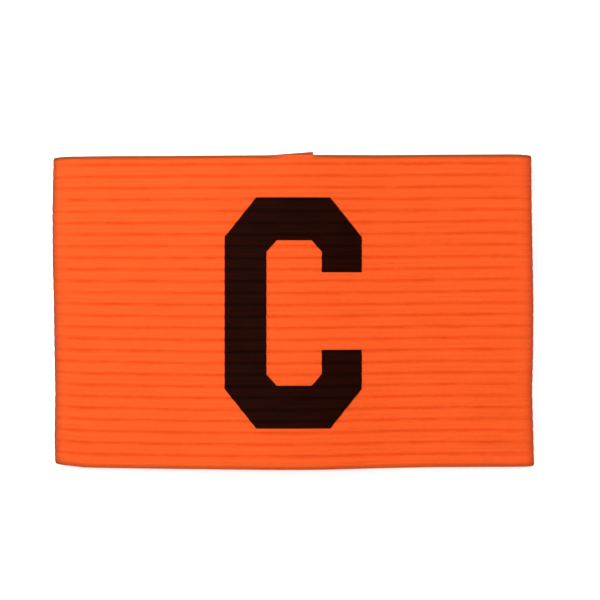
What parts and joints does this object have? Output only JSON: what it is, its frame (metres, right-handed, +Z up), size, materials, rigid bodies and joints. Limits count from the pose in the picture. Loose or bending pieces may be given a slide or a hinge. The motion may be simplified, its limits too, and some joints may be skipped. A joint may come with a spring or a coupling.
{
  "type": "captain armband",
  "caption": "Ribbed elastic captain's armband, closed in a loop with hook-and-loop tape and lying flat, with a black block letter on its front.",
  "frame": {"origin": "on the surface that the armband lies on, under the centre of its bounding box", "axes": "+X along the ribs, from the left fold to the right fold as the letter is read; +Y across the ribs, towards the top of the letter, and the way that the arm passes through the loop; +Z up, out of the lettered front"},
  "size_m": [0.139, 0.0918, 0.0122],
  "materials": {
    "ribbed_elastic": "matte ribbed elastic weave, bright orange",
    "pressed_film": "matte heat-pressed film, warm black",
    "hook_and_loop": "black nylon hook-and-loop tape"
  },
  "bodies": {
    "root": {"elastic_band": "ribbed_elastic", "letter_c": "pressed_film", "closure_tape": "hook_and_loop"}
  },
  "joints": []
}
